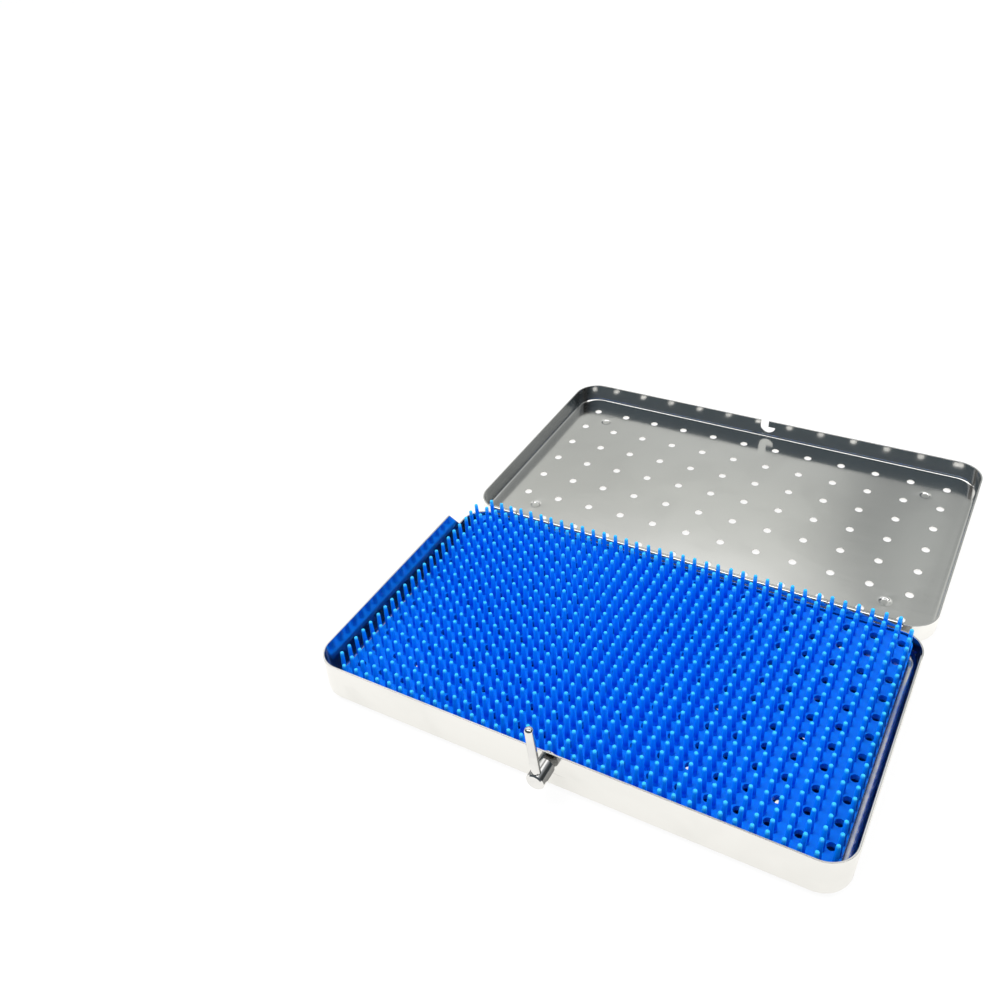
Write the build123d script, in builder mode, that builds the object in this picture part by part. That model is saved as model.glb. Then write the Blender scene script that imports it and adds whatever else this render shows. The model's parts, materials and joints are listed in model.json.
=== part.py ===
"""Hinged instrument cassette of pressed, perforated steel with a silicone finger mat.

The origin is on the surface that the cassette stands on, below the middle of the base tray.
+X runs along the hinge, +Y from the latch to the hinge and +Z up. The lid lies open behind
the base tray and the latch lever stands up, leaning a little to the left.
"""

import os
from math import atan, degrees, sqrt

from build123d import *

os.makedirs("parts", exist_ok=True)

# Sheet metal, mm
sheet = 0.8
bend_radius = 2.2
slide_gap = 0.6
punch_travel = 2.4

# Base tray
base_length = 250.0
base_width = 150.0
base_height = 23.0
base_corner = 13.0
rear_ramp_start = 26.5
rear_ramp_end = 17.5

# Lid
lid_head_gap = 1.0
lid_rim_drop = 0.6

# Punched drainage holes and pressed feet, the same on both pans
hole_pitch = 20.0
hole_diameter = 4.2
hole_sides = 8
hole_margin = 13.0
foot_height = 0.7
foot_diameter = 6.0
foot_taper = 30.0

# Hinge
pin_diameter = 2.2
pin_clearance = 0.05
pin_end_chamfer = 0.6
knuckle_gap = 0.4
knuckle_wall_gap = 0.2
base_knuckle_length = 20.0
base_knuckle_offset = 87.0

# Latch
spindle_drop = 6.1
spindle_diameter = 8.4
spindle_reach = 12.0
spindle_chamfer = 0.6
neck_flat = 0.75
journal_diameter = 5.0
journal_clearance = 0.05
slot_clearance = 0.4
tongue_overlap = 0.5
lid_wall_gap = 0.35
bush_wall = 1.0
bush_flange_width = 1.2
bush_flange = 0.5
washer_diameter = 9.0
washer_thickness = 0.4
dish_height = 0.25
rivet_diameter = 6.6
rivet_height = 0.6
rivet_chamfer = 0.3
axial_play = 0.05
lever_diameter = 4.0
lever_round = 1.4
lever_length = 30.0
lever_seat = 1.8
lever_inset = 2.7
lever_lean = 5.0

# Finger mat
mat_end_gap = 5.8
mat_side_gap = 0.6
mat_sheet = 3.0
tip_drop = 1.5
finger_height = 14.2
finger_base = 2.8
finger_tip = 2.2
finger_pitch = 6.25
finger_group = 2
mat_foot_pitch = 50.0
mat_foot_size = 4.0

# Hinge line: the knuckles roll out of the plane of each wall
knuckle_bore = pin_diameter / 2 + pin_clearance
knuckle_radius = knuckle_bore + sheet
floor_top = foot_height + sheet
hinge_y = base_width / 2 + knuckle_bore
hinge_z = (base_height + lid_head_gap + floor_top) / 2
knuckle_end = base_length / 2 - base_corner
base_knuckle_start = base_knuckle_offset - base_knuckle_length / 2
base_knuckle_end = base_knuckle_offset + base_knuckle_length / 2
low_rim = hinge_z - sqrt(knuckle_radius**2 - knuckle_bore**2) - knuckle_wall_gap

# The lid fits outside the base's front and side walls
lid_length = base_length + 2 * (slide_gap + sheet)
lid_width = base_width + slide_gap + sheet
lid_corner = base_corner + slide_gap + sheet
lid_rim = hinge_z - lid_rim_drop
lid_near_y = hinge_y + knuckle_bore
lid_far_y = lid_near_y + lid_width
lid_centre_y = (lid_near_y + lid_far_y) / 2

# Latch line: the lid's slot closes round the spindle's neck
spindle_z = base_height - spindle_drop
spindle_axis = Axis((0, 0, spindle_z), (0, 1, 0))
slot_z = 2 * hinge_z - spindle_z
slot_radius = spindle_diameter / 2 + slot_clearance
front_y = base_width / 2
neck_end = front_y + slide_gap + sheet + lid_wall_gap
spindle_end = front_y + spindle_reach
bore_radius = journal_diameter / 2 + journal_clearance
bush_radius = bore_radius + bush_wall
flange_face = front_y - sheet - bush_flange - axial_play
washer_face = flange_face - washer_thickness - dish_height - axial_play
rivet_face = washer_face - washer_thickness

# The mat lies inside the base's walls
mat_length = base_length - 2 * (sheet + mat_end_gap)
mat_width = base_width - 2 * (sheet + mat_side_gap)
mat_corner = base_corner - sheet - mat_end_gap
mat_top = base_height - tip_drop - finger_height
mat_underside = mat_top - mat_sheet


def fitting_count(span: float, pitch: float) -> int:
    """Number of places at the given pitch that fit within a span."""
    return int(span / pitch) + 1


def pressed_pan(length: float, width: float, corner: float, rim_z: float, centre_y: float) -> Part:
    """Pressed pan with rounded walls, punched drainage holes and four pressed feet."""
    hole_columns = fitting_count(length - 2 * hole_margin, hole_pitch)
    hole_rows = fitting_count(width - 2 * hole_margin, hole_pitch)
    foot_spacing_x = (hole_columns - 2) * hole_pitch
    foot_spacing_y = (hole_rows - 2) * hole_pitch
    with BuildPart() as pan:
        with BuildSketch(Plane.XY.offset(foot_height)):
            with Locations((0, centre_y)):
                RectangleRounded(length, width, corner)
        extrude(amount=rim_z - foot_height)
        fillet(pan.faces().sort_by(Axis.Z)[0].edges(), bend_radius)
        offset(amount=-sheet, openings=pan.faces().sort_by(Axis.Z)[-1])
        with BuildSketch(Plane.XY.offset(foot_height)):
            with Locations((0, centre_y)):
                with GridLocations(foot_spacing_x, foot_spacing_y, 2, 2):
                    Circle(foot_diameter / 2)
        extrude(amount=-foot_height, taper=foot_taper)
        with BuildSketch(Plane.XY.offset(floor_top)):
            with Locations((0, centre_y)):
                with GridLocations(foot_spacing_x, foot_spacing_y, 2, 2):
                    Circle((foot_diameter - sheet) / 2)
        extrude(amount=-foot_height, taper=foot_taper, mode=Mode.SUBTRACT)
        with BuildSketch(Plane.XY):
            with Locations((0, centre_y)):
                with GridLocations(hole_pitch, hole_pitch, hole_columns, hole_rows):
                    RegularPolygon(hole_diameter / 2, hole_sides)
        extrude(amount=floor_top, mode=Mode.SUBTRACT)
    return pan.part


def rolled_knuckle(start: float, end: float, wall_y: float, wall_z: float) -> Part:
    """Knuckle from start to end along the hinge, rolled out of the wall edge at wall_y, wall_z."""
    with BuildPart() as knuckle:
        with BuildSketch(Plane.YZ.offset(start)):
            with Locations((hinge_y, hinge_z)):
                Circle(knuckle_radius)
            with Locations((wall_y, (wall_z + hinge_z) / 2)):
                Rectangle(sheet, hinge_z - wall_z)
            with Locations((hinge_y, hinge_z)):
                Circle(knuckle_bore, mode=Mode.SUBTRACT)
        extrude(amount=end - start)
    return knuckle.part


# Base tray: the rear corners and wall are cut low, to let the lid's rear wall swing over them
base_pan = pressed_pan(base_length, base_width, base_corner, base_height, 0)
base_knuckles = [
    rolled_knuckle(side - base_knuckle_length / 2, side + base_knuckle_length / 2,
                   base_width / 2 - sheet / 2, low_rim - sheet)
    for side in (-base_knuckle_offset, base_knuckle_offset)
]
with BuildPart() as base_tray:
    add(base_pan)
    with BuildSketch(Plane.YZ):
        with BuildLine():
            Polyline(
                (base_width / 2 - rear_ramp_start, base_height + sheet),
                (base_width / 2 - rear_ramp_start, base_height),
                (base_width / 2 - rear_ramp_end, low_rim),
                (base_width / 2 + sheet, low_rim),
                (base_width / 2 + sheet, base_height + sheet),
                close=True,
            )
        make_face()
    extrude(amount=base_length, both=True, mode=Mode.SUBTRACT)
    add(base_knuckles)
    with BuildSketch(Plane.XZ.offset(front_y + sheet)):
        with Locations((0, spindle_z)):
            Circle(bush_radius)
    extrude(amount=-punch_travel, mode=Mode.SUBTRACT)
base_tray.part.label = "base_tray"

# Lid: three knuckles between and beside the base's two, and a hooked slot for the latch
lid_pan = pressed_pan(lid_length, lid_width, lid_corner, lid_rim, lid_centre_y)
inner_end = base_knuckle_start - knuckle_gap
outer_start = base_knuckle_end + knuckle_gap
lid_knuckles = [
    rolled_knuckle(start, end, lid_near_y + sheet / 2, lid_rim - sheet)
    for start, end in ((-knuckle_end, -outer_start), (-inner_end, inner_end), (outer_start, knuckle_end))
]
with BuildPart() as lid_tray:
    add(lid_pan)
    with BuildSketch(Plane.XZ.offset(-lid_near_y + sheet)):
        with Locations(
            (-base_knuckle_offset, low_rim + lid_rim / 2), (base_knuckle_offset, low_rim + lid_rim / 2)
        ):
            Rectangle(base_knuckle_length + 2 * knuckle_gap, lid_rim)
    extrude(amount=-punch_travel, mode=Mode.SUBTRACT)
    add(lid_knuckles)
    with BuildSketch(Plane.XZ.offset(-lid_far_y - sheet)):
        with Locations((0, slot_z)):
            Circle(slot_radius)
        with Locations((0, slot_z)):
            Rectangle(slot_radius, lid_rim, align=(Align.MAX, Align.MIN))
        with Locations((slot_clearance / 2, slot_z - tongue_overlap)):
            Rectangle(slot_radius, lid_rim, align=(Align.MIN, Align.MIN), mode=Mode.SUBTRACT)
    extrude(amount=punch_travel, mode=Mode.SUBTRACT)
lid_tray.part.label = "lid_tray"

# Hinge pin: one wire through all five knuckles, with chamfered ends
with BuildPart() as hinge_pin:
    with BuildSketch(Plane.YZ):
        with Locations((hinge_y, hinge_z)):
            Circle(pin_diameter / 2)
    extrude(amount=knuckle_end + pin_end_chamfer, both=True)
    chamfer(hinge_pin.faces().sort_by(Axis.X)[0].edges(), pin_end_chamfer)
    chamfer(hinge_pin.faces().sort_by(Axis.X)[-1].edges(), pin_end_chamfer)
hinge_pin.part.label = "hinge_pin"

# Latch bush: a flanged sleeve that lines the hole in the thin front wall
with BuildPart() as latch_bush:
    with BuildSketch(Plane.XZ.offset(front_y - sheet - bush_flange)):
        with Locations((0, spindle_z)):
            Circle(bush_radius + bush_flange_width)
    extrude(amount=bush_flange)
    with BuildSketch(Plane.XZ.offset(front_y - sheet)):
        with Locations((0, spindle_z)):
            Circle(bush_radius - journal_clearance)
    extrude(amount=sheet)
    with BuildSketch(Plane.XZ.offset(front_y - sheet - bush_flange)):
        with Locations((0, spindle_z)):
            Circle(bore_radius)
    extrude(amount=bush_flange + sheet, mode=Mode.SUBTRACT)
latch_bush.part.label = "latch_bush"

# Latch spindle: a round bar milled to a half-moon neck where the lid's wall slides past
with BuildPart() as latch_spindle:
    with BuildSketch(Plane.XZ.offset(neck_end)):
        with Locations((0, spindle_z)):
            Circle(spindle_diameter / 2)
    extrude(amount=spindle_end - neck_end)
    chamfer(latch_spindle.faces().sort_by(Axis.Y)[0].edges(), spindle_chamfer)
    with BuildSketch(Plane.XZ.offset(front_y + axial_play)):
        with Locations((0, spindle_z)):
            Circle(spindle_diameter / 2)
        with Locations((-neck_flat, spindle_z)):
            Rectangle(spindle_diameter, spindle_diameter, align=(Align.MIN, Align.CENTER), mode=Mode.SUBTRACT)
    extrude(amount=neck_end - front_y - axial_play)
    with BuildSketch(Plane.XZ.offset(rivet_face)):
        with Locations((0, spindle_z)):
            Circle(journal_diameter / 2)
    extrude(amount=front_y + axial_play - rivet_face)
    with BuildSketch(Plane.XZ.offset(rivet_face - rivet_height)):
        with Locations((0, spindle_z)):
            Circle(rivet_diameter / 2)
    extrude(amount=rivet_height)
    chamfer(latch_spindle.faces().sort_by(Axis.Y)[-1].edges(), rivet_chamfer)
    with BuildSketch(Plane.XY.offset(spindle_z - lever_seat)):
        with Locations((0, -spindle_end + lever_inset)):
            Circle(lever_diameter / 2 + pin_clearance)
    extrude(amount=spindle_diameter, mode=Mode.SUBTRACT)

# Latch lever: a round rod pressed into the spindle's cross hole
with BuildPart() as latch_lever:
    with BuildSketch(Plane.XY.offset(spindle_z - lever_seat)):
        with Locations((0, -spindle_end + lever_inset)):
            Circle(lever_diameter / 2)
    extrude(amount=lever_seat + lever_length)
    fillet(latch_lever.faces().sort_by(Axis.Z)[-1].edges(), lever_round)

# The spindle and lever are drawn upright, then turned as one to the resting lean
leaning_spindle = latch_spindle.part.rotate(spindle_axis, -lever_lean)
leaning_spindle.label = "latch_spindle"
leaning_lever = latch_lever.part.rotate(spindle_axis, -lever_lean)
leaning_lever.label = "latch_lever"

# Dished spring washer, which holds the lever where it is turned
with BuildPart() as latch_spring_washer:
    with BuildSketch(Plane.YZ):
        with BuildLine():
            Polyline(
                (-flange_face, spindle_z + washer_diameter / 2),
                (-flange_face + washer_thickness, spindle_z + washer_diameter / 2),
                (-flange_face + washer_thickness + dish_height, spindle_z + bore_radius),
                (-flange_face + dish_height, spindle_z + bore_radius),
                close=True,
            )
        make_face()
    revolve(axis=spindle_axis)
latch_spring_washer.part.label = "latch_spring_washer"

# Flat washer under the spindle's riveted end
with BuildPart() as latch_washer:
    with BuildSketch(Plane.XZ.offset(rivet_face)):
        with Locations((0, spindle_z)):
            Circle(washer_diameter / 2)
            Circle(bore_radius, mode=Mode.SUBTRACT)
    extrude(amount=washer_thickness)
latch_washer.part.label = "latch_washer"

# Finger mat: each modelled finger stands for a square group of the moulded ones
group_pitch = finger_pitch * finger_group
finger_taper = degrees(atan((finger_base - finger_tip) / 2 / finger_height))
with BuildPart() as finger_mat:
    with BuildSketch(Plane.XY.offset(mat_underside)):
        RectangleRounded(mat_length, mat_width, mat_corner)
    extrude(amount=mat_sheet)
    with BuildSketch(Plane.XY.offset(mat_top)):
        with GridLocations(
            group_pitch, group_pitch,
            fitting_count(mat_length - group_pitch, group_pitch),
            fitting_count(mat_width - group_pitch, group_pitch),
        ):
            Rectangle(finger_base, finger_base)
    extrude(amount=finger_height, taper=finger_taper)
    with BuildSketch(Plane.XY.offset(floor_top)):
        with GridLocations(
            mat_foot_pitch, mat_foot_pitch,
            fitting_count(mat_length - mat_foot_pitch / 2, mat_foot_pitch),
            fitting_count(mat_width - mat_foot_pitch / 2, mat_foot_pitch),
        ):
            Rectangle(mat_foot_size, mat_foot_size)
    extrude(amount=mat_underside - floor_top)
finger_mat.part.label = "finger_mat"

export_step(base_tray.part, "parts/base_tray.step")
export_step(lid_tray.part, "parts/lid_tray.step")
export_step(hinge_pin.part, "parts/hinge_pin.step")
export_step(latch_bush.part, "parts/latch_bush.step")
export_step(leaning_spindle, "parts/latch_spindle.step")
export_step(leaning_lever, "parts/latch_lever.step")
export_step(latch_spring_washer.part, "parts/latch_spring_washer.step")
export_step(latch_washer.part, "parts/latch_washer.step")
export_step(finger_mat.part, "parts/finger_mat.step")
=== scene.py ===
"""Looks of a hinged instrument cassette: pressed, perforated steel pans and a silicone finger mat.

Sizes are in metres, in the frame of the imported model: +X along the hinge, +Y from the latch
to the hinge, +Z up.
"""

from __future__ import annotations

import json
import logging
import math
from abc import ABC, abstractmethod
from dataclasses import dataclass
from enum import Enum
from typing import Callable, Mapping, NamedTuple

import bmesh
import bpy
from bmesh.types import BMesh, BMVert
from bpy.types import Material, Mesh, Node, NodeOutputs, NodeSocket, NodeTree, Object
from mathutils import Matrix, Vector

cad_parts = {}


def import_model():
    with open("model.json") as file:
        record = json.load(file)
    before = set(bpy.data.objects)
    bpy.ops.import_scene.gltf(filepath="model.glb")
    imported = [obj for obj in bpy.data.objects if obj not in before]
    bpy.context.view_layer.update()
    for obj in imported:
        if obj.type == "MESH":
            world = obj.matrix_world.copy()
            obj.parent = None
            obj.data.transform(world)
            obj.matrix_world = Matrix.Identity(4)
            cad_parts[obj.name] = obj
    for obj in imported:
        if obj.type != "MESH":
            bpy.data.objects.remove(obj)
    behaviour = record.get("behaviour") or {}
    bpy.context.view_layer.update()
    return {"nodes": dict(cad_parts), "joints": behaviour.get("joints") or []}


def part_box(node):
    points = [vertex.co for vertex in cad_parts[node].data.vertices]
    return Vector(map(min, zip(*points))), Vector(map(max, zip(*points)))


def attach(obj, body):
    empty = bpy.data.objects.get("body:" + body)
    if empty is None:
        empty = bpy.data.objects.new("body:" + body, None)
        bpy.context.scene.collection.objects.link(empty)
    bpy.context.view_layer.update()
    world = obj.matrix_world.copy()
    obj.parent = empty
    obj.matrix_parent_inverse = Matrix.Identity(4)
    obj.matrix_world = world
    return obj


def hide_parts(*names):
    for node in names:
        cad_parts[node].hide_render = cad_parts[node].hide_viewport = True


log = logging.getLogger("cassette")

Triple = tuple[float, float, float]
Colour = Triple
Stops = tuple[tuple[float, Colour | float], ...]
Profile = tuple[tuple[float, float], ...]
Turn = Callable[[Vector], float]

BLACK: Colour = (0.0, 0.0, 0.0)
WHITE: Colour = (1.0, 1.0, 1.0)
TINY = 1e-6
MERGED = 5e-6
SHARP_EDGE = math.radians(50.0)


class Body(Enum):
    """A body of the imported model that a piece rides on."""

    BASE = "base"
    LID = "lid"


class Slot(Enum):
    """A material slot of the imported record."""

    STEEL = "steel"
    SILICONE = "silicone"


# ---------------------------------------------------------------------------------------------
# Node trees


class Graph:
    """Adds nodes to one tree and joins them."""

    def __init__(self, tree: NodeTree) -> None:
        """Keeps the tree."""
        self.tree = tree

    def feed(self, node: Node, feeds: Mapping[str | int, object]) -> None:
        """Joins sockets to a node's inputs, or sets the inputs' own values.

        Args:
            node: the node.
            feeds: an output socket or a plain value for each input, by its name or number.
        """
        for key, value in feeds.items():
            if isinstance(value, NodeSocket):
                self.tree.links.new(value, node.inputs[key])
            else:
                node.inputs[key].default_value = value

    def node(self, kind: str, feeds: Mapping[str | int, object] | None = None, **settings: object) -> Node:
        """Adds a node.

        Args:
            kind: Blender's name of the node type.
            feeds: an output socket or a plain value for some of its inputs.
            **settings: values of the node's own properties.

        Returns:
            The new node.
        """
        made = self.tree.nodes.new(kind)
        for name, value in settings.items():
            setattr(made, name, value)
        self.feed(made, feeds or {})
        return made

    def math(self, operation: str, *values: object) -> NodeSocket:
        """Adds a Math node.

        Args:
            operation: Blender's name of the operation.
            *values: its inputs, sockets or numbers.

        Returns:
            The output socket.
        """
        return self.node("ShaderNodeMath", dict(enumerate(values)), operation=operation).outputs[0]

    def vector_math(self, operation: str, *values: object) -> NodeSocket:
        """Adds a Vector Math node.

        Args:
            operation: Blender's name of the operation.
            *values: its inputs, sockets or vectors.

        Returns:
            The vector output socket.
        """
        return self.node("ShaderNodeVectorMath", dict(enumerate(values)), operation=operation).outputs[0]

    def split(self, vector: NodeSocket) -> NodeOutputs:
        """Adds a Separate XYZ node and returns its outputs X, Y and Z."""
        return self.node("ShaderNodeSeparateXYZ", {0: vector}).outputs

    def span(self, value: NodeSocket, low: object, high: object, **settings: object) -> NodeSocket:
        """Adds a Map Range node.

        Args:
            value: what it reads.
            low: the value that gives 0.
            high: the value that gives 1.
            **settings: values of the node's own properties.

        Returns:
            The result's socket.
        """
        feeds = {"Value": value, "From Min": low, "From Max": high}
        return self.node("ShaderNodeMapRange", feeds, **settings).outputs["Result"]

    def ramp(self, factor: NodeSocket, stops: Stops) -> NodeSocket:
        """Adds a Color Ramp.

        Args:
            factor: what the ramp reads, from 0 to 1.
            stops: places along the ramp, each with a colour or a shade of grey.

        Returns:
            The colour output socket.
        """
        made = self.node("ShaderNodeValToRGB", {"Fac": factor})
        elements = made.color_ramp.elements
        while len(elements) < len(stops):
            elements.new(0.5)
        for element, (place, colour) in zip(elements, stops):
            element.position = place
            element.color = (*(colour if isinstance(colour, tuple) else (colour,) * 3), 1.0)
        return made.outputs["Color"]

    def mix(self, factor: NodeSocket, low: object, high: object) -> NodeSocket:
        """Adds a colour Mix node.

        Args:
            factor: 0 gives low and 1 gives high.
            low: a colour or a socket.
            high: a colour or a socket.

        Returns:
            The colour output socket.
        """
        made = self.node("ShaderNodeMix", {0: factor}, data_type="RGBA")
        for key, value in ((6, low), (7, high)):
            self.feed(made, {key: value if isinstance(value, NodeSocket) else (*value, 1.0)})
        return made.outputs[2]

    def noise(
        self, place: NodeSocket, scale: object, detail: float = 2.0, distortion: float = 0.0
    ) -> NodeSocket:
        """Adds a Noise Texture.

        Args:
            place: where the noise is read.
            scale: how fine it is, per metre.
            detail: how many finer layers it has.
            distortion: how far its shapes are bent.

        Returns:
            The value output socket.
        """
        feeds = {"Vector": place, "Scale": scale, "Detail": detail, "Distortion": distortion}
        return self.node("ShaderNodeTexNoise", feeds).outputs["Fac"]

    def bump(
        self, height: NodeSocket, depth: float, strength: float, under: NodeSocket | None = None
    ) -> NodeSocket:
        """Adds a Bump node.

        Args:
            height: the relief, from 0 to 1.
            depth: how high the relief is.
            strength: how much of it shows.
            under: the normal of a coarser relief below it.

        Returns:
            The normal output socket.
        """
        feeds = {"Height": height, "Distance": depth, "Strength": strength}
        if under is not None:
            feeds["Normal"] = under
        return self.node("ShaderNodeBump", feeds).outputs["Normal"]

    def move(self, geometry: NodeSocket, place: NodeSocket, selection: object = True) -> NodeSocket:
        """Adds a Set Position node.

        Args:
            geometry: what is moved.
            place: where each point goes.
            selection: which points are moved.

        Returns:
            The geometry output socket.
        """
        feeds = {"Geometry": geometry, "Selection": selection, "Position": place}
        return self.node("GeometryNodeSetPosition", feeds).outputs["Geometry"]


SOCKET_TYPES = {float: "NodeSocketFloat", int: "NodeSocketInt", tuple: "NodeSocketVector"}


def new_group(name: str, kind: str, inputs: Mapping[str, object], outputs: Mapping[str, str]) -> Graph:
    """Starts a node group with named sockets.

    Args:
        name: the group's name.
        kind: ShaderNodeTree or GeometryNodeTree.
        inputs: the default value of each input, or the socket type of one that has none.
        outputs: the socket type of each output.

    Returns:
        The graph of the new group.
    """
    tree = bpy.data.node_groups.new(name, kind)
    for label, default in inputs.items():
        socket_type = SOCKET_TYPES.get(type(default), default)
        socket = tree.interface.new_socket(label, in_out="INPUT", socket_type=socket_type)
        if socket_type != default:
            socket.default_value = default
    for label, socket_type in outputs.items():
        tree.interface.new_socket(label, in_out="OUTPUT", socket_type=socket_type)
    return Graph(tree)


def grown_mesh(name: str, tree: NodeTree, values: Mapping[str, object]) -> Mesh:
    """Plain mesh that a Geometry Nodes tree makes.

    Args:
        name: the mesh's name.
        tree: the tree.
        values: values of the tree's inputs, by name.

    Returns:
        The evaluated result as a mesh of its own.
    """
    carrier = bpy.data.objects.new(name, bpy.data.meshes.new(name + "_seed"))
    bpy.context.scene.collection.objects.link(carrier)
    modifier = carrier.modifiers.new("Grow", "NODES")
    modifier.node_group = tree
    for item in tree.interface.items_tree:
        if item.in_out == "INPUT" and item.name in values:
            modifier[item.identifier] = values[item.name]
    carrier.update_tag()
    evaluated = carrier.evaluated_get(bpy.context.evaluated_depsgraph_get())
    mesh = bpy.data.meshes.new_from_object(evaluated)
    mesh.name = name
    carrier.modifiers.remove(modifier)
    bpy.data.objects.remove(carrier)
    return mesh


# ---------------------------------------------------------------------------------------------
# Shader effects that more than one finish uses


def grain_group() -> NodeTree:
    """Fine streaks along one direction, as rolling or turning leaves them.

    Returns:
        The shader node group, with a mask of the streaks.
    """
    graph = new_group(
        "Fine_grain",
        "ShaderNodeTree",
        {"Place": "NodeSocketVector", "Stretch": WHITE, "Scale": 1.0},
        {"Mask": "NodeSocketFloat"},
    )
    entry = graph.node("NodeGroupInput").outputs
    stretched = graph.vector_math("MULTIPLY", entry["Place"], entry["Stretch"])
    graph.node("NodeGroupOutput", {"Mask": graph.noise(stretched, entry["Scale"], detail=3.0)})
    return graph.tree


def handling_group() -> NodeTree:
    """Soft smudges with a few fine scratches, as handling and washing leave them.

    Returns:
        The shader node group, with a mask of the smudges and a mask of the scratches.
    """
    graph = new_group(
        "Handling_marks",
        "ShaderNodeTree",
        {
            "Place": "NodeSocketVector",
            "Smudge Scale": 22.0,
            "Smudge Start": 0.42,
            "Smudge End": 0.68,
            "Scratch Scale": 60.0,
            "Scratch Stretch": (1.0, 0.35, 1.0),
            "Scratch Width": 0.004,
            "Patch Scale": 45.0,
            "Patch Share": 0.60,
        },
        {"Smudges": "NodeSocketFloat", "Scratches": "NodeSocketFloat"},
    )
    entry = graph.node("NodeGroupInput").outputs
    smudge = graph.noise(entry["Place"], entry["Smudge Scale"], detail=4.0, distortion=0.6)
    crack = graph.node(
        "ShaderNodeTexVoronoi",
        {
            "Vector": graph.vector_math("MULTIPLY", entry["Place"], entry["Scratch Stretch"]),
            "Scale": entry["Scratch Scale"],
        },
        feature="DISTANCE_TO_EDGE",
    )
    thin = graph.math("LESS_THAN", crack.outputs["Distance"], entry["Scratch Width"])
    patches = graph.noise(entry["Place"], entry["Patch Scale"])
    in_patch = graph.math("GREATER_THAN", patches, entry["Patch Share"])
    start, end = entry["Smudge Start"], entry["Smudge End"]
    masks = {
        "Smudges": graph.span(smudge, start, end, interpolation_type="SMOOTHSTEP"),
        "Scratches": graph.math("MULTIPLY", thin, in_patch),
    }
    graph.node("NodeGroupOutput", masks)
    return graph.tree


@dataclass(frozen=True)
class Effects:
    """Shader groups that the finishes share."""

    grain: NodeTree
    handling: NodeTree

    @classmethod
    def build(cls) -> Effects:
        """Makes each group once."""
        return cls(grain_group(), handling_group())

    def marks(self, graph: Graph, place: NodeSocket, smudge_scale: float) -> NodeOutputs:
        """Puts the handling marks in a material.

        Args:
            graph: the material's graph.
            place: the Object coordinates.
            smudge_scale: how fine the smudges are.

        Returns:
            The outputs Smudges and Scratches.
        """
        feeds = {"Place": place, "Smudge Scale": smudge_scale}
        return graph.node("ShaderNodeGroup", feeds, node_tree=self.handling).outputs

    def streaks(self, graph: Graph, place: NodeSocket, scale: float, stretch: Triple) -> NodeSocket:
        """Puts the fine grain in a material.

        Args:
            graph: the material's graph.
            place: the Object coordinates.
            scale: how fine the streaks are.
            stretch: how much finer they are along each axis.

        Returns:
            The mask of the streaks.
        """
        feeds = {"Place": place, "Stretch": stretch, "Scale": scale}
        return graph.node("ShaderNodeGroup", feeds, node_tree=self.grain).outputs["Mask"]


# ---------------------------------------------------------------------------------------------
# Finishes


def new_material(name: str) -> tuple[Material, Graph, Node, NodeSocket]:
    """Starts a material.

    Args:
        name: the material's name.

    Returns:
        The material, its graph, its Principled BSDF and the Object coordinates.
    """
    material = bpy.data.materials.new(name)
    material.use_nodes = True
    graph = Graph(material.node_tree)
    shader = material.node_tree.nodes["Principled BSDF"]
    return material, graph, shader, graph.node("ShaderNodeTexCoord").outputs["Object"]


@dataclass(frozen=True)
class Steel:
    """Stainless steel: a soft mirror with fine streaks and smudges."""

    name: str
    clean: Colour
    dull: Colour
    dulling: float
    roughness: float
    smudge_scale: float
    smudge_roughness: float
    streak_scale: float
    streak_stretch: Triple
    streak_roughness: float
    streak_strength: float
    streak_depth: float = 0.00001
    scratching: float = 0.0

    def waves(self, graph: Graph, place: NodeSocket) -> NodeSocket | None:
        """The normal of the slow waves below the streaks, where there are any."""
        return None

    def material(self, effects: Effects) -> Material:
        """Builds the finish.

        Args:
            effects: the shared shader groups.

        Returns:
            The material.
        """
        material, graph, shader, place = new_material(self.name)
        streaks = effects.streaks(graph, place, self.streak_scale, self.streak_stretch)
        marks = effects.marks(graph, place, self.smudge_scale)
        dulled = graph.math("MULTIPLY", marks["Smudges"], self.dulling)
        rough = graph.math("MULTIPLY_ADD", streaks, self.streak_roughness, self.roughness)
        relief = graph.math("MULTIPLY_ADD", marks["Scratches"], -self.scratching, streaks)
        looks = {
            "Base Color": graph.mix(dulled, self.clean, self.dull),
            "Metallic": 1.0,
            "Roughness": graph.math("MULTIPLY_ADD", marks["Smudges"], self.smudge_roughness, rough),
            "Normal": graph.bump(relief, self.streak_depth, self.streak_strength, self.waves(graph, place)),
        }
        graph.feed(shader, looks)
        return material


@dataclass(frozen=True)
class SatinSheet(Steel):
    """Cold-rolled stainless sheet, with slow waves, rolling streaks and a few scratches."""

    name: str = "Satin_sheet"
    clean: Colour = (0.83, 0.83, 0.815)
    dull: Colour = (0.68, 0.68, 0.665)
    dulling: float = 0.30
    roughness: float = 0.11
    smudge_scale: float = 24.0
    smudge_roughness: float = 0.03
    streak_scale: float = 900.0
    streak_stretch: Triple = (0.05, 1.0, 0.12)
    streak_roughness: float = 0.07
    streak_strength: float = 0.35
    scratching: float = 1.0
    wave_scale: float = 16.0
    wave_depth: float = 0.0003

    def waves(self, graph: Graph, place: NodeSocket) -> NodeSocket | None:
        """The normal of the slow waves that rolling leaves in the sheet."""
        return graph.bump(graph.noise(place, self.wave_scale), self.wave_depth, 1.0)


@dataclass(frozen=True)
class BrightBar(Steel):
    """Ground and polished stainless bar, with fine turning rings round its length."""

    name: str = "Bright_bar"
    clean: Colour = (0.78, 0.78, 0.775)
    dull: Colour = (0.62, 0.62, 0.62)
    dulling: float = 0.4
    roughness: float = 0.04
    smudge_scale: float = 90.0
    smudge_roughness: float = 0.0
    streak_scale: float = 1500.0
    streak_stretch: Triple = (0.4, 0.4, 1.0)
    streak_roughness: float = 0.05
    streak_strength: float = 0.3


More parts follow.
